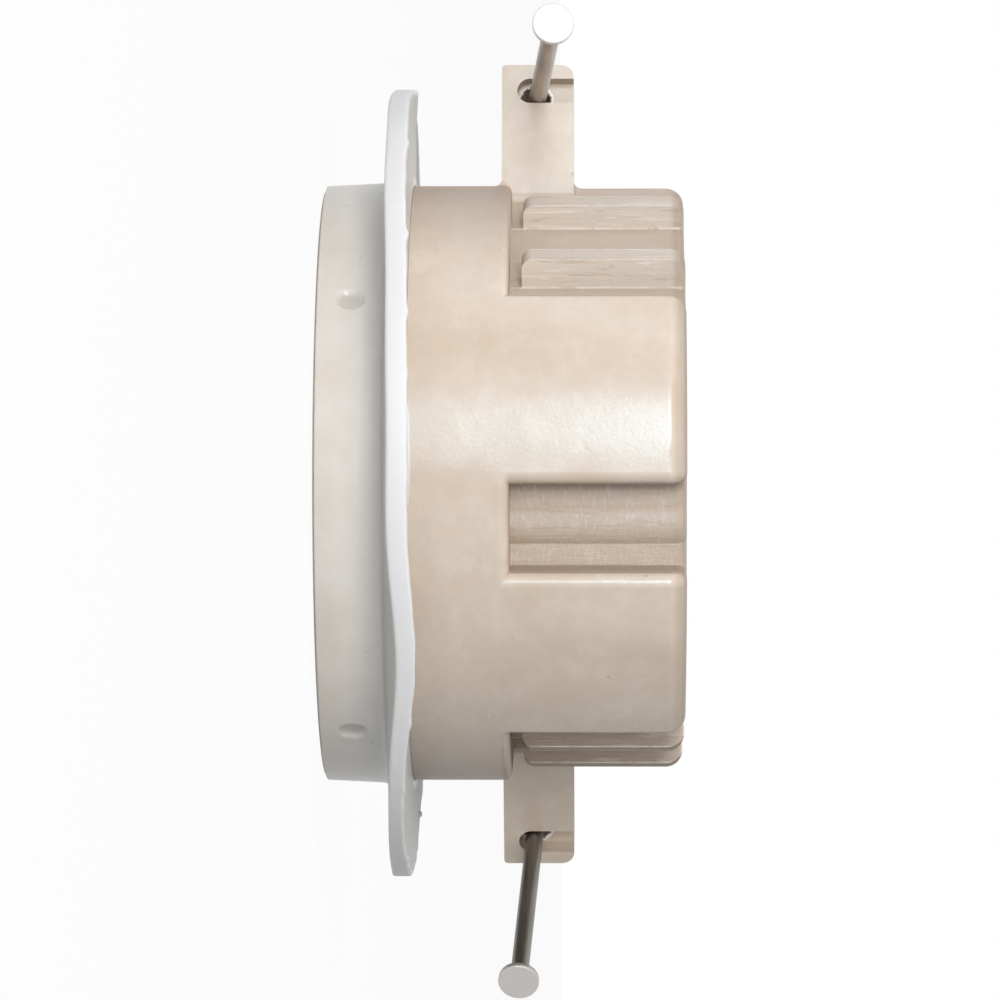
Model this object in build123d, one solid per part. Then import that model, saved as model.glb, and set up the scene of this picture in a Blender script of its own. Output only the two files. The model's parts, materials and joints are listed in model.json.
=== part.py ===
from build123d import *
import math
import os

# Nail-on round ceiling box of moulded glass-fibre polyester, in millimetres.
# The front rim stands on z = 0 and the back of the box is up.
# The joist is on the +Y side; the nails are driven towards it from the -Y side.

# Moulded box, sized from the fixture screws outwards
screw_spacing = 88.9
skin_over_screw = 11.15
depth = 66.7
wall = 2.6
back_wall = 3.0
back_edge_r = 3.4
rim_bevel = 0.3
inner_bevel = 1.5

# Collar that carries the seal
collar_len = 12.7
skirt_start = 0.3
seat_drop = 0.6
collar_swell = 0.5
dimple_dia = 5.0
dimple_deep = 0.7
dimple_angle = 45

# Soft seal
flange_reach = 18.1
flange_thick = 3.9
flange_bevel = 0.8
cove_r = 2.2
seal_clearance = 0.05

# Fixture screw bosses, cored from behind by a channel in the outside wall
boss_r = 5.25
boss_start = 3.0
channel_start = 35.0
channel_half_top = 8.4
channel_half_floor = 7.4
channel_over_screw = 3.95
ridge_half = 2.8
channel_lip_r = 2.0

# Threaded inserts for the fixture screws
insert_r = 3.3
insert_len = 9.5
insert_bore_r = 2.1
insert_flange_r = 4.1
insert_flange_thick = 0.8
screw_room = 12.0
screw_clearance = 0.3

# Cable recess beside each ear, with two ribs on its floor
recess_start = 34.7
recess_angle = 21.5
recess_spread_angle = 34.63
recess_side_angle = 20.8
recess_lip_r = 1.5
rib_near_high = 5.85
rib_far_high = 4.85
rib_thick = 4.0
rib_near = 3.9
rib_far = -19.2
rib_gap = 2.2
rib_front_r = 2.0
rib_back_r = 3.2

# Knockout in the ledge between the ribs
knockout_width = 15.0
knockout_height = 4.4
knockout_web = 0.8
knockout_margin = 0.5

# Cable clamp that swings on a bead snapped into the ledge
clamp_width = 12.0
clamp_bead_r = 1.25
clamp_clearance = 0.1
clamp_tongue = 7.4
clamp_thick = 1.2
clamp_lean = 38.0
clamp_swing = 32.0
clamp_seat_wall = 1.4
clamp_seat_side = 2.0
tooth_high = 0.9

# Nail ears
ear_splay = 22.0
ear_under_ledge = 2.0
ear_width = 13.5
ear_face_angle = 12.78
ear_thick = 9.5
ear_reach = 22.46
ear_strip = 2.7
groove_width = 4.75
groove_deep = 3.55
groove_inset = 2.9
ear_back_r = 2.4
ear_front_r = 0.75
guide_from_tip = 6.1
guide_top_r = 3.25
guide_land = 1.0
guide_clearance = 0.1
guide_up = 6.3

# Nails
nail_r = 1.665
nail_len = 82.6
nail_head_r = 3.8
nail_head_thick = 1.4
nail_head_bevel = 0.3
nail_point = 5.0
nail_neck = 0.6
nail_from_tip = 5.5
nail_standing = 44.5
left_nail_lean = 3.9
right_nail_lean = -3.1
left_nail_tilt = 1.1
right_nail_tilt = -0.6

screw_r = screw_spacing / 2
body_r = screw_r + skin_over_screw
inner_r = body_r - wall
seat_r = body_r - seat_drop
flange_back = collar_len + flange_thick
flange_r = body_r + flange_reach
ledge_in = recess_start - wall
recess_floor = body_r * math.cos(math.radians(recess_spread_angle))
recess_side = body_r * math.sin(math.radians(recess_side_angle))
ear_face = body_r * math.sin(math.radians(ear_face_angle))
channel_floor_r = screw_r + channel_over_screw
ear_start = recess_start - ear_under_ledge
ear_tip = body_r + ear_reach
guide_z = ear_start + guide_up
bearing_margin = 1.0
far_out = 2 * body_r
above = depth + wall


def turned(rz_profile):
    """A profile drawn as (radius, height) turned about the box's axis."""
    return revolve(rz_profile, Axis.Z, 360)


def ring_profile(points):
    return Plane.XZ * make_face(Polyline(*points, close=True))


def rounded(face, places, radius):
    """Rounds the corners of a flat profile that lie at the given (x, y) places."""
    corners = [face.vertices().sort_by_distance((x, y, 0))[0] for x, y in places]
    return fillet(corners, radius)


def flat(points):
    return make_face(Polyline(*points, close=True))


def raise_from(face, low, high):
    """A flat XY profile carried from one height to another."""
    return extrude(Pos(0, 0, low) * face, high - low)


def along_side(face_rz, low, high):
    """A profile drawn as (radial distance, height) carried along local y from low to high."""
    upright = Plane.XZ * face_rz
    return extrude(Pos(0, high, 0) * upright, high - low)


def outer_blank():
    """The plain round box, stepped down over the collar where the seal sits."""
    profile = ring_profile([
        (0, 0),
        (seat_r - rim_bevel, 0),
        (seat_r, rim_bevel),
        (seat_r, flange_back),
        (body_r, flange_back),
        (body_r, depth),
        (0, depth),
    ])
    blank = turned(profile)
    back = blank.edges().filter_by(GeomType.CIRCLE).sort_by(Axis.Z)[-1]
    return fillet(back, back_edge_r)


def recess(grow):
    """Space beside an ear, open to the side and the back; grow gives its inner skin."""
    low = recess_floor - grow
    start = recess_start - grow
    side = -recess_side - grow
    plan = flat([(low, side), (far_out, side), (far_out, body_r), (low, body_r)])
    return Rot(0, 0, -recess_angle) * raise_from(plan, start, above)


def channel_section(low, grow):
    """Cross-section of a channel whose walls open outwards, drawn down to the radius low."""
    slope = (channel_half_top - channel_half_floor) / (body_r - channel_floor_r)
    top_half = channel_half_top + slope * (far_out - body_r) + grow
    half = channel_half_floor + slope * (low + grow - channel_floor_r) + grow
    return flat([(low, -half), (far_out, -top_half), (far_out, top_half), (low, half)])


def channel(grow):
    """Coring channel behind a screw boss; its floor keeps a round ridge, the back of the boss."""
    start = channel_start - grow
    if grow > 0:
        return raise_from(channel_section(channel_floor_r - grow, grow), start, above)
    ridge = Pos(screw_r, 0, depth / 2) * Cylinder(boss_r, depth)
    return raise_from(channel_section(channel_floor_r, 0), start, above) - ridge


def boss():
    post = Pos(screw_r, 0, (boss_start + depth) / 2) * Cylinder(boss_r, depth - boss_start)
    web = Pos((screw_r + inner_r) / 2, 0, (boss_start + depth) / 2)
    web *= Box(inner_r - screw_r + wall, 2 * ridge_half, depth - boss_start)
    return post + web


def in_boss(radius, length):
    """A round bar on the fixture screw's line, from the boss's face inwards."""
    return Pos(screw_r, 0, boss_start + length / 2) * Cylinder(radius, length)


def boss_bores():
    """Stepped hole for a flanged insert, with room behind it for the screw's end."""
    seat = in_boss(insert_flange_r, insert_flange_thick)
    drill = in_boss(insert_bore_r + screw_clearance, insert_len + screw_room)
    return seat + in_boss(insert_r, insert_len) + drill


def rib(low, high):
    """One rib of a cable recess, square in section, rounded at both ends."""
    front = recess_start + rib_gap
    rib_top = recess_floor + high
    deep = recess_floor - wall / 2
    side = flat([(deep, front), (rib_top, front), (rib_top, depth), (deep, depth)])
    side = rounded(side, [(rib_top, front)], rib_front_r)
    side = rounded(side, [(rib_top, depth)], rib_back_r)
    placed = along_side(side, -low - rib_thick, -low)
    return Rot(0, 0, -recess_angle) * placed


def knockout():
    """Pocket in the ledge that leaves only a thin web to break out."""
    mid = (rib_near + rib_far + rib_thick) / 2
    low = recess_floor + knockout_margin
    profile = RectangleRounded(knockout_height, knockout_width, knockout_height / 2 - 0.1)
    placed = Pos(low + knockout_height / 2, -mid, 0) * profile
    return Rot(0, 0, -recess_angle) * raise_from(placed, ledge_in + knockout_web, recess_start + rib_gap)


def ear():
    """Nail ear: flat face square to the nail, an end strip, a groove and a tapered guide hole."""
    far = ear_thick - ear_face
    near = inner_r - wall
    outline = flat([(near, -ear_face), (ear_tip, -ear_face), (ear_tip, far), (near, far)])
    block = raise_from(outline, ear_start, ear_start + ear_width)
    tip_edges = block.edges().filter_by(Axis.Y).group_by(Axis.X)[-1].sort_by(Axis.Z)
    block = fillet(tip_edges[-1], ear_back_r)
    tip_edges = block.edges().filter_by(Axis.Y).sort_by(Axis.Z)[:2].sort_by(Axis.X)
    block = fillet(tip_edges[-1], ear_front_r)
    groove_x = ear_tip - ear_strip - groove_width / 2
    slot_high = 2 * ear_width
    slot = Pos(groove_x, ear_start + groove_inset + slot_high / 2) * RectangleRounded(
        groove_width, slot_high, groove_width / 2 - 0.01
    )
    cut = extrude(Plane.XZ.offset(ear_face - groove_deep) * slot, 2 * groove_deep)
    floor_y = groove_deep - ear_face
    mouth = Plane((ear_tip - guide_from_tip, floor_y, guide_z), z_dir=(0, 1, 0)) * Circle(guide_top_r)
    throat_at = Plane((ear_tip - nail_from_tip, far - guide_land, guide_z), z_dir=(0, 1, 0))
    throat = throat_at * Circle(nail_r + guide_clearance)
    funnel = loft([mouth, throat])
    land = extrude(throat, 2 * guide_land)
    return Rot(0, 0, ear_splay) * (block - cut - funnel - land)


def on_skin(place):
    """Whether a point lies on the outside surface of the plain round box."""
    near = 0.02
    bend = depth - back_edge_r
    radius = math.hypot(place.X, place.Y)
    if place.Z <= bend:
        return abs(radius - body_r) < near
    if radius <= body_r - back_edge_r:
        return abs(place.Z - depth) < near
    return abs(math.hypot(radius - body_r + back_edge_r, place.Z - bend) - back_edge_r) < near


def rim_edges(shape, start, first, last, side=1):
    """Edges of a pocket's mouth: on the skin, behind its ledge and between two bearings.

    The bearings are taken from +X, or from -X on the other side, towards +Y.
    """
    found = []
    for edge in shape.edges():
        places = [edge @ share for share in (0, 0.5, 1)]
        if not all(on_skin(place) for place in places):
            continue
        bearing = math.degrees(math.atan2(places[1].Y, places[1].X * side))
        if min(place.Z for place in places) > start - 0.01 and first < bearing < last:
            found.append(edge)
    return found


def turned_back(place, angle, side):
    """A place's distances along and across a direction at this angle, on the given side of the box."""
    a = math.radians(angle)
    x = place.X * side
    return x * math.cos(a) + place.Y * math.sin(a), place.Y * math.cos(a) - x * math.sin(a)


def root_edges(shape, side):
    """Edges where a nail ear grows out of the round wall and the recess floor."""
    near = 0.02
    found = []
    for edge in shape.edges():
        places = [edge @ share for share in (0, 0.5, 1)]
        across = [turned_back(place, ear_splay, side)[1] for place in places]
        floor = [turned_back(place, -recess_angle, side)[0] for place in places]
        heights = [place.Z for place in places]
        if min(across) < -ear_face - near or max(across) > ear_thick - ear_face + near:
            continue
        if min(heights) < ear_start - near or max(heights) > ear_start + ear_width + near:
            continue
        if all(on_skin(p) or abs(f - recess_floor) < near for p, f in zip(places, floor)):
            if places[1].X * side > 0:
                found.append(edge)
    return found


def mirrored(shape):
    return shape + mirror(shape, Plane.YZ)


def dimples():
    """Two shallow round marks in the collar."""
    marks = []
    reach = body_r - dimple_deep
    for angle in (-dimple_angle, dimple_angle - 180):
        tip = Pos(reach + dimple_dia, 0, collar_len / 2) * Sphere(dimple_dia)
        marks.append(Rot(0, 0, angle) * tip)
    return marks


def clamp_axis():
    """Distance from the box's axis, and height, of a clamp's bead."""
    radial = recess_floor - wall + clamp_bead_r
    height = ledge_in - clamp_bead_r - clamp_clearance - clamp_seat_wall
    return radial, height


def clamp_mid():
    return -(rib_near + rib_far + rib_thick) / 2


def clamp_seat():
    """Open bearing under the knockout that the clamp's bead snaps into."""
    radial, height = clamp_axis()
    low_x = radial - clamp_bead_r - clamp_clearance - clamp_seat_wall
    high_x = recess_floor + knockout_margin
    low_z = height - clamp_bead_r
    body = flat([(low_x, ledge_in + wall / 2), (low_x, low_z), (radial, low_z), (high_x, height),
                 (high_x, ledge_in + wall / 2)])
    half = clamp_width / 2 + clamp_seat_side
    block = along_side(body, clamp_mid() - half, clamp_mid() + half)
    half = clamp_width / 2 + clamp_clearance
    bore = Pos(radial, height) * Circle(clamp_bead_r + clamp_clearance)
    reach = clamp_tongue * 2
    room = clamp_thick / 2 + clamp_clearance
    first = math.radians(clamp_lean - 6)
    last = math.radians(clamp_lean + clamp_swing + 6)
    swing = flat([
        (radial + room * math.sin(first), height + room * math.cos(first)),
        (radial + reach * math.cos(first) + room * math.sin(first),
         height - reach * math.sin(first) + room * math.cos(first)),
        (radial + reach, height - 2 * reach),
        (radial + reach * math.cos(last) - room * math.sin(last),
         height - reach * math.sin(last) - room * math.cos(last)),
        (radial - room * math.sin(last), height - room * math.cos(last)),
    ])
    cut = along_side(bore + swing, clamp_mid() - half, clamp_mid() + half)
    return Rot(0, 0, -recess_angle) * (block - cut)


def cable_clamp():
    """Nylon tongue on a round bead, toothed at its tip, pressed towards the wall by its own spring."""
    radial, height = clamp_axis()
    half = clamp_width / 2
    bead = Circle(clamp_bead_r)
    strip = flat([(0, -clamp_thick / 2), (clamp_tongue, -clamp_thick / 2),
                  (clamp_tongue, clamp_thick / 2 + tooth_high),
                  (clamp_tongue - tooth_high, clamp_thick / 2),
                  (0, clamp_thick / 2)])
    profile = Pos(radial, height) * Rot(0, 0, -clamp_lean) * (bead + strip)
    body = along_side(profile, clamp_mid() - half, clamp_mid() + half)
    return Rot(0, 0, -recess_angle) * body


def box_shell():
    outside = outer_blank()
    channel_half = math.degrees(channel_half_top / body_r) + bearing_margin
    for side in (-90, 90):
        outside -= Rot(0, 0, side) * channel(0)
        rim = rim_edges(outside, channel_start, side - channel_half, side + channel_half)
        outside = fillet(rim, channel_lip_r)
    outside -= mirrored(recess(0))
    outside += mirrored(ear())
    near_edge = -recess_angle - recess_side_angle - bearing_margin
    for side in (1, -1):
        rim = rim_edges(outside, recess_start, near_edge, ear_splay, side)
        root = [edge for edge in root_edges(outside, side) if not any(map(edge.is_same, rim))]
        outside = fillet(rim + root, recess_lip_r)
    outside += mirrored(rib(rib_near, rib_near_high) + rib(rib_far, rib_far_high))
    floor = depth - back_wall
    inner = ring_profile([(0, -wall), (inner_r, -wall), (inner_r, floor), (0, floor)])
    cavity = turned(inner)
    back_corner = cavity.edges().filter_by(GeomType.CIRCLE).sort_by(Axis.Z)[-1]
    cavity = chamfer(back_corner, inner_bevel)
    cavity -= mirrored(recess(wall))
    cavity -= mirrored(clamp_seat())
    for side in (-90, 90):
        cavity -= Rot(0, 0, side) * channel(wall)
        cavity -= Rot(0, 0, side) * boss()
    shell = outside - cavity
    shell -= mirrored(knockout())
    for side in (-90, 90):
        shell -= Rot(0, 0, side) * boss_bores()
    return shell


def seal_flange():
    """One soft ring: a thin skirt on the collar, a cove and a wide flat flange."""
    inside = seat_r + seal_clearance
    back = flange_back - seal_clearance
    face = ring_profile([
        (inside, skirt_start),
        (body_r, skirt_start),
        (body_r + collar_swell, collar_len),
        (flange_r, collar_len),
        (flange_r, back),
        (inside, back),
    ])
    ring = turned(face)
    circles = ring.edges().filter_by(GeomType.CIRCLE)
    front = [e for e in circles if abs(e.center().Z - collar_len) < 0.01]
    root = [e for e in front if e.radius < (body_r + flange_r) / 2]
    ring = fillet(root, cove_r)
    rim = [e for e in ring.edges().filter_by(GeomType.CIRCLE) if abs(e.radius - flange_r) < 0.01]
    ring = chamfer(rim, flange_bevel)
    for mark in dimples():
        ring -= mark
    return ring


def nail(lean, tilt):
    """Round wire nail: flat head, short conical neck and a four-sided point."""
    shank_len = nail_len - nail_point
    shank = Pos(0, 0, shank_len / 2) * Cylinder(nail_r, shank_len)
    head = Pos(0, 0, -nail_head_thick / 2) * Cylinder(nail_head_r, nail_head_thick)
    head = chamfer(head.edges().filter_by(GeomType.CIRCLE).sort_by(Axis.Z)[0], nail_head_bevel)
    neck = Solid.make_cone(nail_r + nail_neck, nail_r, nail_neck, Plane.XY)
    point = Solid.make_cone(nail_r, nail_r / 8, nail_point, Plane((0, 0, shank_len)))
    whole = shank + head + neck + point
    # The nail is drawn down its own +Z, then laid through the guide's land and leaned.
    land_to_head = nail_standing + ear_thick - guide_land / 2
    seated = Pos(0, 0, -land_to_head) * whole
    laid = Rot(-90, 0, 0) * seated
    leaned = Rot(0, 0, -tilt) * Rot(lean, 0, 0) * laid
    pivot = Pos(ear_tip - nail_from_tip, ear_thick - ear_face - guide_land / 2, guide_z)
    return Rot(0, 0, ear_splay) * pivot * leaned


def threaded_insert(side):
    """Flanged brass bush pressed into a boss, with its bore at the thread's outside diameter."""
    bush = in_boss(insert_flange_r, insert_flange_thick) + in_boss(insert_r, insert_len)
    return Rot(0, 0, side) * (bush - in_boss(insert_bore_r, insert_len))


def save(name, shape):
    export_step(shape, os.path.join("parts", name + ".step"))
    print(name, len(shape.solids()), round(shape.volume, 1))


os.makedirs("parts", exist_ok=True)
save("box_shell", box_shell())
save("seal_flange", seal_flange())
save("nail_right", nail(-right_nail_lean, right_nail_tilt))
save("nail_left", mirror(nail(-left_nail_lean, left_nail_tilt), Plane.YZ))
save("insert_near", threaded_insert(-90))
save("insert_far", threaded_insert(90))
save("clamp_right", cable_clamp())
save("clamp_left", mirror(cable_clamp(), Plane.YZ))
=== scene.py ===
import json
import math

import bmesh
import bpy
import numpy as np
from mathutils import Matrix, Vector


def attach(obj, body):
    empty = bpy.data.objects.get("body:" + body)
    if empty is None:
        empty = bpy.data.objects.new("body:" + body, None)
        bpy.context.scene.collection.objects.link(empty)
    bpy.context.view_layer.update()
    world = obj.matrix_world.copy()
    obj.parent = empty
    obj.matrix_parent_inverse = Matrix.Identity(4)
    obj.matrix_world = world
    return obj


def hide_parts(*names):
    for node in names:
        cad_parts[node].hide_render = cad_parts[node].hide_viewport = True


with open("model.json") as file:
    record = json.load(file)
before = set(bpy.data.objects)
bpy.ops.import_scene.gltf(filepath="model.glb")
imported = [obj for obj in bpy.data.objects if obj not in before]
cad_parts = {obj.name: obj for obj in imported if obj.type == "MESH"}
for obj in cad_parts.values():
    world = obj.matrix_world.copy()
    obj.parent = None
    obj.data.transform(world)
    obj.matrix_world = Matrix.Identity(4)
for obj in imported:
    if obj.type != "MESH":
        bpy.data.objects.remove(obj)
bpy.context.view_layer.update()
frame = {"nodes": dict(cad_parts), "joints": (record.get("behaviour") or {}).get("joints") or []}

mm = 0.001

# The view of the photograph.
# The open rim of the box stands on the floor, and the picture is taken from its side with the
# camera rolled a quarter turn, so that the closed back is at the picture's right.
camera_turn = math.radians(9.0)
camera_away = 1031.25 * mm
camera_height = 51.2 * mm
camera_below = 3.2 * mm
aim_height = 32.4 * mm
picture_up = Vector((-math.cos(camera_turn), math.sin(camera_turn), 0))
towards_camera = Vector((-math.sin(camera_turn), -math.cos(camera_turn), 0))
along_box = Vector((0, 0, 1))


def standing(place, facing, level):
    """The place and turn of a camera or lamp whose back points along facing and whose right is level."""
    turn = Matrix((level, facing.cross(level), facing)).transposed()
    return Matrix.Translation(place) @ turn.to_4x4()


camera_data = bpy.data.cameras.new("camera")
camera_data.sensor_width = 36.0
camera_data.lens = 198.0
camera_data.clip_start = 0.01
camera_data.clip_end = 20.0
camera = bpy.data.objects.new("camera", camera_data)
bpy.context.scene.collection.objects.link(camera)
stand = towards_camera * camera_away - picture_up * camera_below + along_box * camera_height
aim = -picture_up * camera_below + along_box * aim_height
away = (stand - aim).normalized()
camera.matrix_world = standing(stand, away, picture_up.cross(away).normalized())
bpy.context.scene.camera = camera
bpy.context.scene.view_settings.view_transform = "Standard"


# The shaders.
# Every finish below is written as an expression on the sockets of its node tree, so that a mask or
# a height reads as the sum that it is.
class Wire:
    """A shader socket that Python's own operators can be used on."""

    def __init__(self, tree, socket):
        self.tree = tree
        self.socket = socket

    def math(self, operation, *others):
        return self.tree.node("ShaderNodeMath", {"operation": operation}, dict(enumerate((self, *others))))

    def __add__(self, other):
        return self.math("ADD", other)

    def __sub__(self, other):
        return self.math("SUBTRACT", other)

    def __rsub__(self, other):
        return self.math("MULTIPLY", -1.0).math("ADD", other)

    def __mul__(self, other):
        return self.math("MULTIPLY", other)

    def __pow__(self, other):
        return self.math("POWER", other)

    def __abs__(self):
        return self.math("ABSOLUTE")

    __radd__ = __add__
    __rmul__ = __mul__

    def above(self, edge, soft):
        """0 under the edge and 1 over it, with a smooth step of the given width between."""
        limits = {"Value": self, "From Min": edge - soft / 2, "From Max": edge + soft / 2}
        return self.tree.node("ShaderNodeMapRange", {"interpolation_type": "SMOOTHSTEP"}, limits)

    def below(self, edge, soft):
        """1 under the edge and 0 over it, with the same step."""
        return 1 - self.above(edge, soft)


class Tree:
    """A node tree that starts empty."""

    def __init__(self, node_tree):
        self.nodes = node_tree.nodes
        self.links = node_tree.links
        self.nodes.clear()

    def node(self, kind, settings, inputs, out=0):
        """Adds a node, sets it, and feeds its sockets with values or with other nodes' outputs."""
        made = self.nodes.new(kind)
        for name, value in settings.items():
            setattr(made, name, value)
        for slot, value in inputs.items():
            if isinstance(value, Wire):
                self.links.new(value.socket, made.inputs[slot])
            else:
                made.inputs[slot].default_value = value
        return Wire(self, made.outputs[out]) if made.outputs else None


class Finish(Tree):
    """One procedural material, built node by node on the piece's own coordinates."""

    def __init__(self, name):
        self.material = bpy.data.materials.new(name)
        self.material.use_nodes = True
        super().__init__(self.material.node_tree)
        self.place = self.node("ShaderNodeTexCoord", {}, {}, "Object")

    def axes(self):
        return [self.node("ShaderNodeSeparateXYZ", {}, {0: self.place}, axis) for axis in "XYZ"]

    def stretched(self, scale):
        return self.node("ShaderNodeMapping", {}, {"Vector": self.place, "Scale": scale})

    def along(self, heading, length):
        """Places drawn out by a length along a line in the XY plane, at a heading from +Y."""
        turned = {"Vector": self.place, "Rotation": (0, 0, heading), "Scale": (1, length, 1)}
        return self.node("ShaderNodeMapping", {"vector_type": "TEXTURE"}, turned)

    def noise(self, size, detail, roughness, where=None, distortion=0.0):
        """Cloudy noise from 0 to 1 whose patches are about the given size across."""
        inputs = {"Vector": where or self.place, "Scale": 1 / size, "Detail": detail,
                  "Roughness": roughness, "Distortion": distortion}
        return self.node("ShaderNodeTexNoise", {}, inputs, "Fac")

    def spots(self, spacing, size, soft):
        """1 on small scattered spots, which lie about the spacing apart, and 0 between them."""
        cells = {"Vector": self.place, "Scale": 1 / spacing}
        return self.node("ShaderNodeTexVoronoi", {}, cells, "Distance").below(size, soft)

    def mix(self, factor, first, second):
        return self.node("ShaderNodeMix", {"data_type": "RGBA"}, {0: factor, 6: first, 7: second}, 2)

    def coats(self, colour, *layers):
        """A colour with others laid over it in turn, each given as its mask and itself."""
        for mask, over in layers:
            colour = self.mix(mask, colour, over)
        return colour

    def bump(self, height, distance, strength):
        relief = {"Height": height, "Distance": distance, "Strength": strength}
        return self.node("ShaderNodeBump", {}, relief, "Normal")

    def surface(self, **inputs):
        inputs = {name.replace("_", " "): value for name, value in inputs.items()}
        shader = self.node("ShaderNodeBsdfPrincipled", {}, inputs)
        self.node("ShaderNodeOutputMaterial", {}, {"Surface": shader})
        return self.material


def paint(red, green, blue):
    """A colour as seen on screen, from 0 to 255, turned into the linear values that shaders use."""
    linear = [((c / 255 + 0.055) / 1.055) ** 2.4 for c in (red, green, blue)]
    return (*linear, 1.0)


# The box shell.
# One moulding of polyester filled with short glass fibre, pressed in a steel tool: tan, satin, clouded by
# the flow of the resin, with rough drag marks. Thin pale lines along the rib edges are painted highlights.
# The ribs in the upper side recess are painted paler, as painted light from above, and those in the lower
# one browner, as painted shade; the channel, its upper wall, and the sides that turn away from the camera
# are painted darker, also as painted shade.
tan = paint(214, 198, 181)
tan_warm = paint(202, 182, 161)
tan_pale = paint(224, 212, 199)
tan_grey = paint(204, 193, 182)
pit_brown = paint(160, 140, 118)
# Several of these colours also carry painted highlights and painted shade in the layers below.
highlight_and_drag_cream = paint(240, 230, 218)
painted_shade_brown = paint(138, 114, 95)
lit_rib_and_scratch_pale = paint(228, 219, 208)
shaded_rib_and_stain_brown = paint(168, 148, 130)
drag_and_shade_brown = paint(176, 155, 134)
body_radius = 55.6 * mm
wall_edge = 54.0 * mm
recess_start = 34.4 * mm
recess_end = 66.2 * mm
recess_angle = math.radians(21.5)
side_recess = 24 * mm
rib_floor = 45.75 * mm
rib_foot = 46.1 * mm
rib_crests = ((-7.9 * mm, -3.9 * mm, 51.6 * mm), (15.2 * mm, 19.2 * mm, 50.6 * mm))
rib_field = (-9.5 * mm, 20.5 * mm)
crest_line = 0.28 * mm
foot_line = 0.3 * mm
channel_half = 8.9 * mm
channel_lip = 52.5 * mm
channel_upper_wall = -6.4 * mm
front_part = 22 * mm
back_band = (64.6 * mm, 66.5 * mm)

shell = Finish("moulded_polyester")
x, y, z = shell.axes()
radius = (x * x + y * y) ** 0.5
recessed = (radius.below(wall_edge, 0.8 * mm) * z.above(recess_start, 0.8 * mm)
            * z.below(recess_end, 0.6 * mm))
outward = abs(x) * math.cos(recess_angle) - y * math.sin(recess_angle)
across = abs(x) * math.sin(recess_angle) + y * math.cos(recess_angle)
left_half = x.below(0, 1 * mm)
at_side = abs(x).above(side_recess, 2 * mm)
among_ribs = across.above(rib_field[0], 0.6 * mm) * across.below(rib_field[1], 0.6 * mm)
ribbed = recessed * among_ribs * at_side * outward.above(rib_foot, 0.3 * mm)
in_channel = recessed * abs(x).below(channel_half, 0.8 * mm) * radius.below(channel_lip, 3 * mm)
# Surfaces seen at a slant from the camera: their colour is darkened there as painted shade, and they are
# made rougher.
grazing = shell.node("ShaderNodeLayerWeight", {}, {"Blend": 0.5}, "Facing").above(0.58, 0.6)


def line_at(first, first_place, second, second_place, width):
    """1 on a straight edge that runs along Z, given by its places on two other axes, and 0 away from it."""
    gap = ((first - first_place) ** 2 + (second - second_place) ** 2) ** 0.5
    return gap.below(width, width)


flow = shell.noise(26 * mm, 4, 0.55, shell.stretched((1, 1, 0.6)), 0.8)
cloud = shell.noise(6 * mm, 5, 0.6)
grain = shell.noise(0.7 * mm, 4, 0.6)
drag = shell.noise(1.3 * mm, 4, 0.65, shell.stretched((1, 1, 0.1)), 0.4)
scuffs = shell.noise(4 * mm, 6, 0.7, shell.stretched((1, 1, 0.45)), 2.2)
mottle = shell.noise(1.6 * mm, 5, 0.65)
scratches = shell.noise(0.8 * mm, 5, 0.7, shell.stretched((0.25, 1, 1)), 1.5)
highlight_breakup = shell.noise(3 * mm, 4, 0.7, shell.stretched((0.2, 0.2, 1)))
pits = shell.spots(7 * mm, 0.06, 0.04) * cloud.above(0.5, 0.1)
rib_edges = sum(
    line_at(outward, height, across, place, width)
    for low, high, crest in rib_crests
    for height, place, width in (
        (crest, low, crest_line), (crest, high, crest_line), (rib_floor, low, foot_line))
)
# The lines at the rib crests and feet where painted highlights are laid, broken up by noise; they are also
# raised a little.
highlight_lines = rib_edges * recessed * highlight_breakup.above(0.42, 0.3)
shell_colour = shell.coats(
    tan_warm,
    (flow.above(0.5, 0.55), tan),
    (cloud.above(0.56, 0.4) * 0.45, tan_pale),
    (recessed * scuffs.above(0.5, 0.3) * 0.55, tan_grey),
    (mottle.above(0.55, 0.35) * 0.3, tan_warm),
    # Painted light: the ribs of the upper side recess, lit from above, are painted paler.
    (ribbed * left_half * 0.6, lit_rib_and_scratch_pale),
    # Painted shade: the ribs and floor of the lower side recess are painted browner.
    (recessed * at_side * (1 - left_half) * 0.75, shaded_rib_and_stain_brown),
    # Painted shade: the channel is painted darker, and its upper wall, which faces down, darker still.
    (in_channel * 0.7, drag_and_shade_brown),
    (in_channel * x.below(channel_upper_wall, 1.6 * mm) * 0.75, painted_shade_brown),
    (z.below(front_part, 7 * mm) * cloud.above(0.47, 0.3) * 0.3, shaded_rib_and_stain_brown),
    # Pale drag streaks on the ribs, painted stronger on the upper, lit side as painted light.
    (ribbed * drag.above(0.6, 0.06) * (0.3 + left_half * 0.4), highlight_and_drag_cream),
    (ribbed * drag.below(0.38, 0.05) * 0.35, drag_and_shade_brown),
    (in_channel * scratches.above(0.57, 0.14) * 0.25, lit_rib_and_scratch_pale),
    # A darker band just before the back end.
    (z.above(back_band[0], 1.6 * mm) * z.below(back_band[1], 0.2 * mm) * 0.55, drag_and_shade_brown),
    # Painted shade: surfaces that turn away from the camera are painted darker.
    (grazing * 0.6, painted_shade_brown),
    (pits * 0.3, pit_brown),
    # Painted highlights along the rib edges.
    (highlight_lines * 0.8, highlight_and_drag_cream),
)
relief = grain * 0.25 + cloud * 0.5 - pits * 0.6 + highlight_lines * 0.8 + in_channel * scratches * 0.8
relief = relief + recessed * (drag * 2.2 + scuffs * 1.6)
shell_finish = shell.surface(
    Base_Color=shell_colour,
    Roughness=0.19 + cloud * 0.12 + recessed * 0.15 + grazing * 0.25,
    Normal=shell.bump(relief, 0.12 * mm, 0.8),
    Specular_IOR_Level=0.85,
    Specular_Tint=(0.55, 0.82, 1.0, 1.0),
)


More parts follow.
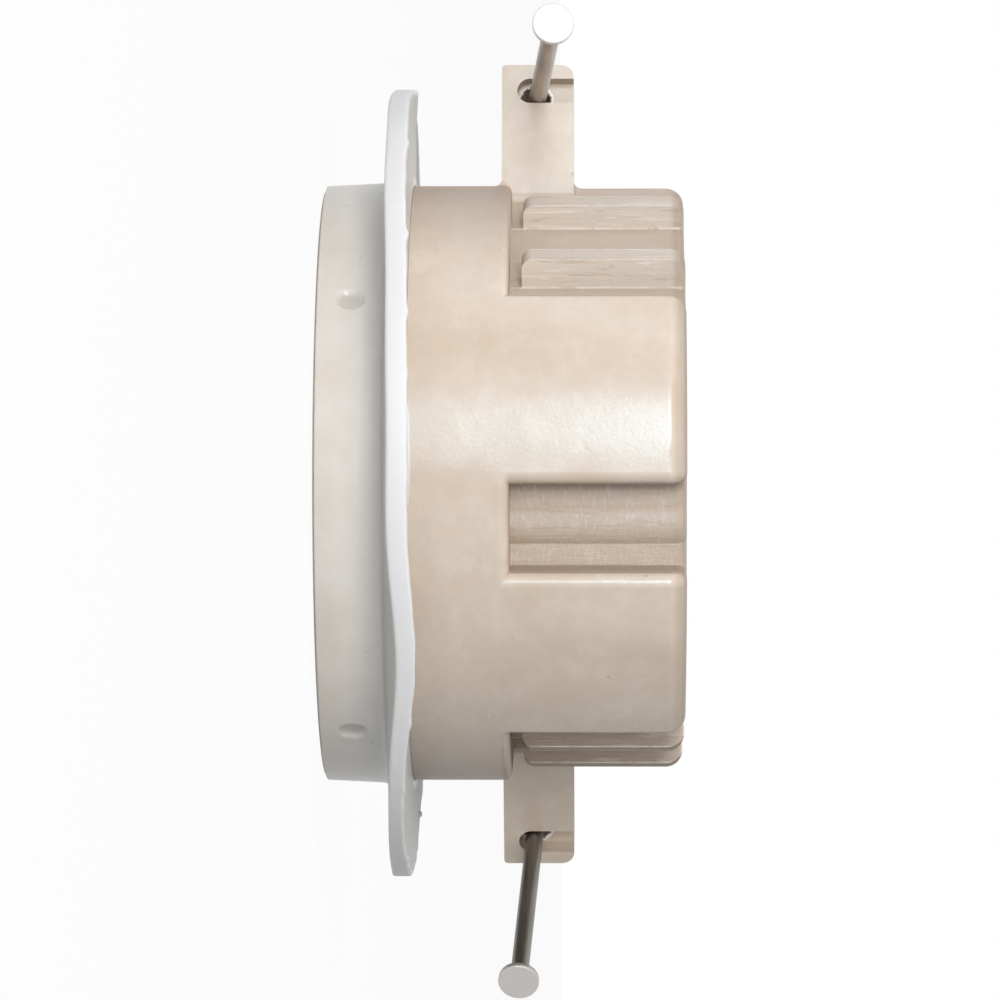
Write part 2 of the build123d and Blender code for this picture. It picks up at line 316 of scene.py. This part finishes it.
def refinish(node, finish):
    """Gives one of the part's solids its finish."""
    solid = frame["nodes"][node]
    solid.data.materials.clear()
    solid.data.materials.append(finish)


refinish("box_shell", shell_finish)


# Flash round the nail guides.
# A thin ragged feather of resin, left inside the mouth of each guide hole where the tool's pin met the
# groove's floor. It is painted paler than the box, as a painted highlight on its lit edge.
ear_splay = math.radians(22)
ear_face = body_radius * math.sin(math.radians(12.78))
ear_tip = 78.06 * mm
guide_from_tip = 6.1 * mm
guide_out = ear_tip - guide_from_tip
guide_height = 39.0 * mm
guide_mouth = 3.25 * mm
groove_deep = 3.55 * mm
groove_floor = ear_face - groove_deep
merge_gap = 0.001 * mm


def ring(count):
    """Angles of a whole turn in equal steps, without the last, which is the first again."""
    return np.linspace(0, 2 * np.pi, count, endpoint=False)


def skin(name, points, close_rows=False, close_columns=False):
    """A mesh of quads over a grid of points: an array of rows by columns by three.

    Points that fall together are merged, which closes seams and poles, and faces are turned outwards.
    """
    rows, columns = points.shape[:2]
    index = np.arange(rows * columns).reshape(rows, columns)
    if close_rows:
        index = np.concatenate([index, index[:1]], 0)
    if close_columns:
        index = np.concatenate([index, index[:, :1]], 1)
    corners = (index[:-1, :-1], index[1:, :-1], index[1:, 1:], index[:-1, 1:])
    quads = np.stack(corners, -1).reshape(-1, 4)
    mesh = bpy.data.meshes.new(name)
    mesh.from_pydata(points.reshape(-1, 3).tolist(), [], quads.tolist())
    work = bmesh.new()
    work.from_mesh(mesh)
    bmesh.ops.remove_doubles(work, verts=work.verts, dist=merge_gap)
    bmesh.ops.recalc_face_normals(work, faces=work.faces)
    work.to_mesh(mesh)
    work.free()
    mesh.polygons.foreach_set("use_smooth", np.ones(len(mesh.polygons), bool))
    piece = bpy.data.objects.new(name, mesh)
    bpy.context.scene.collection.objects.link(piece)
    return piece


def dress(piece, finish, body, node=None):
    """Gives a new piece its finish and slot, the body it moves with and the solid that it stands for."""
    piece.data.materials.append(finish)
    if node:
        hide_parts(node)
    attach(piece, body)


def flash_surface(side):
    """A thin ring just inside the guide's mouth: its inner edge is at mouth - 0.25 - 0.35 * r, in mm.

    r is a sum of three sine waves round the ring, cut off at 0, so that the edge looks torn.
    """
    turn = ring(240)[:, None]
    torn = 0.45 + 0.35 * np.sin(9 * turn + side) + 0.3 * np.sin(23 * turn) + 0.25 * np.sin(47 * turn + 2)
    width = (0.25 + 0.35 * np.clip(torn, 0, 1.2)) * mm
    section = np.array([(-0.35, -0.45), (0.7, -0.4), (1.0, -0.1), (0.75, 0.12), (-0.35, 0.15)])[None]
    reach = guide_mouth - section[..., 0] * width
    out, up = guide_out + reach * np.cos(turn), guide_height + reach * np.sin(turn)
    forward = -(groove_floor + section[..., 1] * mm)
    across_box = out * math.cos(ear_splay) - forward * math.sin(ear_splay)
    along_nail = out * math.sin(ear_splay) + forward * math.cos(ear_splay)
    return np.stack([side * across_box, along_nail, up], -1)


flash = Finish("flash_painted_highlight")
film = flash.noise(0.6 * mm, 3, 0.6)
flash_highlight_finish = flash.surface(
    Base_Color=flash.mix(film.above(0.5, 0.4), paint(240, 233, 224), paint(250, 247, 242)),
    Roughness=0.25 + film * 0.2,
    Normal=flash.bump(film, 0.06 * mm, 0.6),
)
for side, name in ((1, "right"), (-1, "left")):
    dress(skin("guide_flash_" + name, flash_surface(side), True, True), flash_highlight_finish, "box")


# The seal flange.
# A soft pale grey ring moulded on round the collar: a thin skirt that lets the tan show through at the
# front, a small cove, and a wide lip that presses on the ceiling board. The lip is free and a little wavy.
lip_radius = 73.65 * mm
lip_front = 12.7 * mm
lip_back = 16.55 * mm
lip_root = 58.5 * mm
skirt_front = 0.3 * mm
skirt_inner = 55.05 * mm
skirt_outer = body_radius
skirt_swell = 0.5 * mm
skirt_edge = 0.2 * mm
cove_size = 2.2 * mm
rim_round = 0.6 * mm
seal_rows = 960
# Bearings are in degrees from +X. Places on the lip are in degrees from the side that faces the camera.
camera_bearing = -99
dimple_bearings = (-45, -135)
dimple_height = 6.35 * mm
dimple_ball = 5.0 * mm
dimple_deep = 0.7 * mm
dimple_reach = 2.6 * mm
dimple_zone = 10 * mm
skirt_left = 0.08 * mm
skirt_depth = 0.1 * mm
rim_shade = 72.6 * mm
web_shade = 57.2 * mm
cove_shade = 7.5 * mm
# Where the lip's rear edge is torn up, and by how many millimetres.
torn_tips = ((84, 0.75), (57, 0.375), (37, 0.45), (24, 0.3), (15, 0.225),
             (-36, 0.225), (-49, 0.3), (-71, 0.3))


def arc(centre, size, first, last, count):
    """Points of a circular arc in a plane, from one angle to another in degrees."""
    angles = np.radians(np.linspace(first, last, count))
    return np.stack([centre[0] + size * np.cos(angles), centre[1] + size * np.sin(angles)], 1)


def straight(start, end, count):
    """Points of a straight line from start to end."""
    share = np.linspace(0, 1, count)[:, None]
    return np.asarray(start) * (1 - share) + np.asarray(end) * share


def seal_profile():
    """The ring's closed section: skirt out to the cove, lip, rounded rim, and back along the seat."""
    swell = skirt_outer + skirt_swell
    cove = (swell + cove_size, lip_front - cove_size)
    rim = lip_radius - rim_round
    foot = (skirt_outer - skirt_edge, skirt_front + skirt_edge)
    return np.concatenate([
        straight((skirt_inner, skirt_front), (foot[0], skirt_front), 3)[:-1],
        arc(foot, skirt_edge, -90, 0, 4)[:-1],
        straight((skirt_outer, foot[1]), (swell, cove[1]), 34)[:-1],
        arc(cove, cove_size, 180, 90, 9)[:-1],
        straight((cove[0], lip_front), (rim, lip_front), 12)[:-1],
        arc((rim, lip_front + rim_round), rim_round, -90, 0, 4)[:-1],
        straight((lip_radius, lip_front + rim_round), (lip_radius, lip_back - rim_round), 4)[:-1],
        arc((rim, lip_back - rim_round), rim_round, 0, 90, 4)[:-1],
        straight((rim, lip_back), (skirt_inner, lip_back), 14)[:-1],
        straight((skirt_inner, lip_back), (skirt_inner, skirt_front), 4)[:-1],
    ])


def wrapped(angle):
    """The same angle between -180 and 180 degrees."""
    return (angle + 180) % 360 - 180


def bell(angle, middle, width):
    """A bell curve of height 1 round a middle angle: e to the power of minus (distance / width) squared."""
    return np.exp(-(wrapped(angle - middle) / width) ** 2)


def seal_surface():
    """Turns the section round the box's axis, bends the lip and presses the dimples in.

    With the angle a counted from the camera's side towards the picture's top, the lip is lifted by a
    broad bell round a = 10, a steep one round a = -27 and small ones at the far side, in millimetres,
    all of them growing from nothing at the cove to full size at the rim. The lower part of the lip is
    also thinner. A dimple is the cap of a ball pressed into the skirt.
    """
    section = seal_profile()
    bearing = np.linspace(0, 360, seal_rows, endpoint=False)[:, None]
    size, height = section[:, 0][None, :] + 0 * bearing, section[:, 1][None, :] + 0 * bearing
    turn = np.radians(bearing)
    a = wrapped(camera_bearing - bearing)
    free = np.clip((size - lip_root) / (lip_radius - lip_root), 0, 1) ** 1.2
    lift = -0.35 + 1.35 * bell(a, 10, 32) + 2.4 * bell(a, -27, 16) + 0.5 * bell(a, 88, 10)
    lift = lift - 0.45 * bell(a, 140, 25) + 0.4 * bell(a, -128, 10) + 0.08 * np.sin(turn * 13)
    thinner = 0.35 * bell(a, -45, 25) + 0.3 * bell(a, -60, 20)
    share = (height - lip_front) / (lip_back - lip_front)
    torn = 0.07 * np.sin(turn * 53) * np.sin(turn * 7 + 1)
    for place, tall in torn_tips:
        torn = torn + tall * bell(a, place, 0.9)
    height = height + free * (lift + (0.5 - share) * thinner * 2 + np.clip(share, 0, 1) * torn) * mm
    size = size - free * 0.15 * np.abs(np.sin(turn * 2.5 + 1)) * mm
    for middle in dimple_bearings:
        aside = size * np.radians(wrapped(bearing - middle))
        spread = np.minimum((1.2 * aside) ** 2 + (height - dimple_height) ** 2, dimple_ball ** 2)
        floor = skirt_outer - dimple_deep + dimple_ball - np.sqrt(dimple_ball ** 2 - spread)
        floor = np.maximum(floor, skirt_inner + skirt_left)
        on_skirt = (size > skirt_outer - skirt_depth) & (height < dimple_zone)
        size = np.where(on_skirt & (spread < dimple_reach ** 2), np.minimum(size, floor), size)
    return np.stack([size * np.cos(turn), size * np.sin(turn), height], -1)


seal = Finish("soft_seal")
x, y, z = seal.axes()
radius = (x * x + y * y) ** 0.5
on_rim = radius.above(rim_shade, 0.8 * mm)
on_web = radius.above(web_shade, 1.5 * mm)
near_cove = z.above(cove_shade, 9 * mm)
blotch = seal.noise(6 * mm, 5, 0.6)
stain = seal.noise(14 * mm, 4, 0.6)
fine = seal.noise(0.6 * mm, 3, 0.6)
specks = seal.spots(1.1 * mm, 0.12, 0.1) * blotch.above(0.5, 0.1) * (1 - on_web)
seal_colour = seal.coats(
    paint(222, 212, 200),
    (stain.above(0.5, 0.4), paint(229, 222, 214)),
    (near_cove, paint(216, 213, 209)),
    # Painted shade: the lip's flat faces are painted darker than its rounded rim.
    (on_web, paint(198, 197, 194)),
    (on_rim, paint(222, 222, 223)),
    (blotch.above(0.6, 0.3) * 0.25, paint(232, 231, 229)),
)
seal_finish = seal.surface(
    Base_Color=seal_colour,
    Roughness=0.24 + blotch * 0.1 + on_web * 0.2,
    Specular_IOR_Level=0.6,
    Specular_Tint=(0.75, 0.9, 1.0, 1.0),
    Subsurface_Weight=0.35,
    Subsurface_Radius=(1.0, 1.0, 1.0),
    Subsurface_Scale=2 * mm,
    Normal=seal.bump(blotch * 0.4 + fine * 0.2 - specks * 0.9, 0.1 * mm, 0.45),
)
dress(skin("seal_ring", seal_surface(), True, True), seal_finish, "box", "seal_flange")


feather_height = 16.6 * mm
feather_width = 0.95 * mm
feather_start = 15
feather_span = 20


def feather_surface():
    """A thin strip of the seal that crept up the box behind the lip: width * sin(pi s) ** 0.3 wide.

    s runs from 0 to 1 over the strip's length, which is its span in degrees of the box's round.
    """
    share = np.linspace(0, 1, 90)[:, None]
    turn = np.radians(camera_bearing - (feather_start - feather_span * share))
    wide = feather_width * np.sin(np.pi * np.clip(share, 0.002, 0.998)) ** 0.3
    section = np.array([(-0.1, -0.3), (0.22, -0.3), (0.22, 0.8), (0.12, 1.0), (-0.1, 1.0)])[None]
    size = body_radius + section[..., 0] * mm
    height = feather_height + section[..., 1] * wide
    return np.stack([size * np.cos(turn), size * np.sin(turn), height], -1)


dress(skin("seal_feather", feather_surface(), False, True), seal_finish, "box")


pip_place = (66.5 * mm, 14.0 * mm, 15.7 * mm)


def pip_surface(place):
    """A round moulding pip: a short cylinder with a domed end, drawn as (radius, height) rows."""
    rows = np.array([(0, 0), (0.62, 0), (0.6, 0.9), (0.5, 1.15), (0.28, 1.3), (0, 1.34)]) * mm
    turn = ring(24)[None, :]
    size, height = rows[:, 0:1], rows[:, 1:2]
    return np.stack([place[0] + size * np.cos(turn), place[1] + size * np.sin(turn),
                     place[2] + height + 0 * turn], -1)


dress(skin("seal_pip", pip_surface(pip_place), False, True), seal_finish, "box")


# The nails.
# Two bright wire nails: a flat struck head, faint grip marks of the wire vice under it, and a four-sided
# pinched point. Each sits loose in its ear, a little askew, and slides along its own line.
shank_radius = 1.665 * mm
head_thick = 1.4 * mm
head_round = 0.35 * mm
head_inset = 0.01 * mm
neck_length = 0.55 * mm
neck_flare = 0.6 * mm
neck_end = 0.05 * mm
grip_start = 1.2 * mm
grip_end = 9.5 * mm
grip_pitch = 0.95 * mm
grip_deep = 0.07 * mm
point_length = 5.2 * mm
around_nail = 64


def nail_line(node, joint):
    """The points of the nail's solid, its direction from its joint, and where the solid starts along it."""
    place = np.array([v.co for v in frame["nodes"][node].data.vertices])
    direction = np.array(next(j["axis"] for j in frame["joints"] if j["name"] == joint))
    direction = direction / np.linalg.norm(direction)
    return place, direction, (place @ direction).min()


def nail_surface(node, joint):
    """A round bar whose radius is a function of the way along it, from the solid's start to its end.

    The head is a disc with rounded edges, the neck falls away from it as a short cone, and at the point
    the round section turns square while it shrinks to nothing. Grip marks are short rows of notches.
    """
    place, direction, first = nail_line(node, joint)
    left = np.cross(direction, (0, 0, 1.0))
    left = left / np.linalg.norm(left)
    up = np.cross(left, direction)
    sides = place @ np.stack([left, up], 1)
    middle = (sides.max(0) + sides.min(0)) / 2
    line = middle[0] * left + middle[1] * up
    head_size = (sides.max(0) - sides.min(0)).min() / 2 - head_inset
    angles = np.radians(np.linspace(180, 90, 7))
    rows = [(0, s * (head_size - head_round)) for s in np.linspace(0, 1, 9)[:-1]]
    rows += [(head_round + head_round * math.cos(a), head_size - head_round + head_round * math.sin(a))
             for a in angles]
    rows += [(head_thick - head_round * 0.6, head_size - 0.02 * mm), (head_thick, head_size - 0.4 * mm)]
    rows += [(head_thick + neck_length * s, shank_radius + neck_flare * (1 - s) ** 2)
             for s in np.linspace(0, 1, 6)]
    start = head_thick + neck_length + neck_end
    stop = (place @ direction).max() - first - point_length
    rows += [(s, shank_radius) for s in np.linspace(start, start + 12 * mm, 90)]
    rows += [(s, shank_radius) for s in np.linspace(start + 12.5 * mm, stop, 60)]
    rows += [(stop + point_length * s, shank_radius * (1 - s) ** 0.85) for s in np.linspace(0.04, 1, 22)]
    way, size = np.array(rows).T[:, :, None]
    turn = ring(around_nail)[None, :]
    pinch = np.clip((way - stop) / (0.55 * point_length), 0, 1)
    square = 1 / np.maximum(np.abs(np.cos(turn)), np.abs(np.sin(turn)))
    size = size * (1 + pinch * 0.65 * (square - 1))
    gripped = (way > start + grip_start) * (way < start + grip_end)
    notches = np.maximum(0, np.sin(way / grip_pitch * 2 * np.pi)) ** 2
    size = size - gripped * np.maximum(0, np.cos(turn * 2 + 0.7)) ** 4 * grip_deep * notches
    return (line + (first + way)[..., None] * direction + (size * np.cos(turn))[..., None] * left
            + (size * np.sin(turn))[..., None] * up)


def wire_finish(node, joint, shank, shank_dark, head):
    """Drawn wire, streaked and browned along its length, with a clean bright struck head."""
    _, direction, first = nail_line(node, joint)
    finish = Finish(node + "_steel")
    x, y, z = finish.axes()
    way = x * float(direction[0]) + y * float(direction[1]) + z * float(direction[2]) - float(first)
    clean = way.below(1.0 * mm, 0.6 * mm)
    heading = math.atan2(-direction[0], direction[1])
    streak = finish.noise(0.9 * mm, 4, 0.6, finish.along(heading, 24))
    stain = finish.noise(3 * mm, 4, 0.6, finish.along(heading, 5))
    speck = finish.noise(0.5 * mm, 3, 0.7)
    colour = finish.coats(
        paint(*shank_dark),
        ((streak * 0.5 + stain * 0.5).above(0.5, 0.4), paint(*shank)),
        (clean, paint(*head)),
    )
    return finish.surface(
        Base_Color=colour,
        Metallic=0.9,
        Roughness=0.3 + streak * 0.2 + clean * (0.06 + stain * 0.16),
        Normal=finish.bump(streak + speck * 0.6 + stain * clean * 3, 0.05 * mm, 0.5),
    )


for name, shank, shank_dark, head in (
    ("nail_left", (196, 187, 179), (152, 143, 135), (228, 226, 223)),
    # The right nail, at the foot of the view, gets darker copies of the same steel colours as painted
    # shade.
    ("nail_right", (142, 137, 130), (112, 107, 100), (196, 193, 190)),
):
    finish = wire_finish(name, name + "_drive", shank, shank_dark, head)
    nail = skin(name + "_wire", nail_surface(name, name + "_drive"), False, True)
    dress(nail, finish, name, name)


# The fixture inserts.
# Turned brass bushes pressed into the two screw bosses from the front, flush with the boss faces and
# tapped for a small machine screw.
insert_place = 44.45 * mm
insert_front = 3.0 * mm
insert_length = 9.5 * mm
bore_radius = 2.1 * mm
thread_pitch = 0.794 * mm
thread_deep = 0.42 * mm
thread_root = 0.03 * mm
thread_margin = 0.6 * mm


def thread_surface(side):
    """The ridge of a right-hand thread, a small triangle carried along a helix inside the bore.

    At the turn t the ridge stands at the height pitch * t / (2 pi), and it fades out at both ends.
    """
    turns = (insert_length - 2 * thread_margin) / thread_pitch
    turn = np.linspace(0, turns * 2 * np.pi, int(turns * 40))[:, None]
    fade = np.clip(np.minimum(turn, turn[-1] - turn) / np.pi, 0.02, 1)
    section = np.array([(0.03, -0.46), (-1.0, 0.0), (0.03, 0.46)])[None]
    size = bore_radius + np.where(section[..., 0] < 0, section[..., 0] * fade * thread_deep, thread_root)
    height = (insert_front + thread_margin + turn / (2 * np.pi) * thread_pitch
              + section[..., 1] * thread_pitch * fade)
    return np.stack([size * np.cos(turn), side * insert_place + size * np.sin(turn), height], -1)


brass = Finish("turned_brass")
turned = brass.noise(0.5 * mm, 3, 0.6, brass.stretched((0.3, 0.3, 3)))
tarnish = brass.noise(2.5 * mm, 4, 0.6)
brass_finish = brass.surface(
    Base_Color=brass.mix(tarnish.above(0.5, 0.4), paint(181, 148, 84), paint(214, 186, 122)),
    Metallic=1.0,
    Roughness=0.28 + turned * 0.15,
    Normal=brass.bump(turned, 0.03 * mm, 0.6),
)
for name, side in (("insert_near", -1), ("insert_far", 1)):
    refinish(name, brass_finish)
    dress(skin(name + "_thread", thread_surface(side), False, True), brass_finish, "box")


# The cable clamps.
# Nylon tongues moulded with a round bead, which snaps into the seat under each knockout.
nylon = Finish("natural_nylon")
haze = nylon.noise(3 * mm, 4, 0.6)
nylon_finish = nylon.surface(
    Base_Color=nylon.mix(haze.above(0.5, 0.5), paint(214, 211, 200), paint(228, 226, 217)),
    Roughness=0.38 + haze * 0.1,
    Subsurface_Weight=0.15,
    Subsurface_Scale=2 * mm,
    Normal=nylon.bump(haze, 0.05 * mm, 0.5),
)
for name in ("clamp_left", "clamp_right"):
    refinish(name, nylon_finish)


# The studio.
# A white floor that the rim stands on, a white surround, a small bright lamp over the camera that makes
# the highlight, and broad soft lamps in front, above and over the closed back, left out of reflections.
floor_reach = 6.0
floor_drop = 0.02 * mm
floor_paint = (0.7, 0.7, 0.7, 1)
floor_background = 0.95
pure_white = (1, 1, 1, 1)
surround_light = 0.05


def shows_background(tree):
    """1 for the rays that show the background: those of the camera, of reflections and of glass."""
    seen, mirrored, through = (tree.node("ShaderNodeLightPath", {}, {}, "Is " + kind + " Ray")
                               for kind in ("Camera", "Glossy", "Transmission"))
    return seen.math("MAXIMUM", mirrored).math("MAXIMUM", through)


corners = [(a * floor_reach, b * floor_reach, -floor_drop) for a, b in ((-1, -1), (1, -1), (1, 1), (-1, 1))]
floor_mesh = bpy.data.meshes.new("studio_floor")
floor_mesh.from_pydata(corners, [], [(0, 1, 2, 3)])
floor = bpy.data.objects.new("studio_floor", floor_mesh)
bpy.context.scene.collection.objects.link(floor)
white = bpy.data.materials.new("white_floor")
white.use_nodes = True
tree = Tree(white.node_tree)
matte = tree.node("ShaderNodeBsdfDiffuse", {}, {"Color": floor_paint})
glow = tree.node("ShaderNodeEmission", {}, {"Color": pure_white, "Strength": 1.0})
share = shows_background(tree) * floor_background
both = tree.node("ShaderNodeMixShader", {}, {0: share, 1: matte, 2: glow})
tree.node("ShaderNodeOutputMaterial", {}, {"Surface": both})
floor.data.materials.append(white)

world = bpy.data.worlds.new("white_surround")
bpy.context.scene.world = world
world.use_nodes = True
tree = Tree(world.node_tree)
limits = {"Value": shows_background(tree), "To Min": surround_light, "To Max": 1.0}
level = tree.node("ShaderNodeMapRange", {}, limits)
sky = tree.node("ShaderNodeBackground", {}, {"Color": pure_white, "Strength": level})
tree.node("ShaderNodeOutputWorld", {}, {"Surface": sky})


def lamp(name, right, up, near, width, height, watts, mirrored):
    """A soft rectangular lamp at a place given in the picture's own directions, aimed at the box."""
    data = bpy.data.lights.new(name, "AREA")
    data.shape = "RECTANGLE"
    data.size = width
    data.size_y = height
    data.energy = watts
    holder = bpy.data.objects.new(name, data)
    bpy.context.scene.collection.objects.link(holder)
    holder.visible_glossy = mirrored
    place = along_box * (right + aim_height) + picture_up * up + towards_camera * near
    facing = (place - along_box * aim_height).normalized()
    holder.matrix_world = standing(place, facing, along_box.cross(facing).normalized())


lamp("key_lamp", right=0.2, up=0.44, near=1.17, width=0.5, height=0.32, watts=7.0, mirrored=True)
lamp("front_lamp", right=0.15, up=-0.22, near=1.28, width=1.0, height=0.9, watts=8.2, mirrored=False)
lamp("top_lamp", right=0.12, up=1.15, near=0.2, width=0.6, height=0.6, watts=3.7, mirrored=False)
lamp("back_lamp", right=1.25, up=0.35, near=0.3, width=0.8, height=0.8, watts=8.5, mirrored=False)
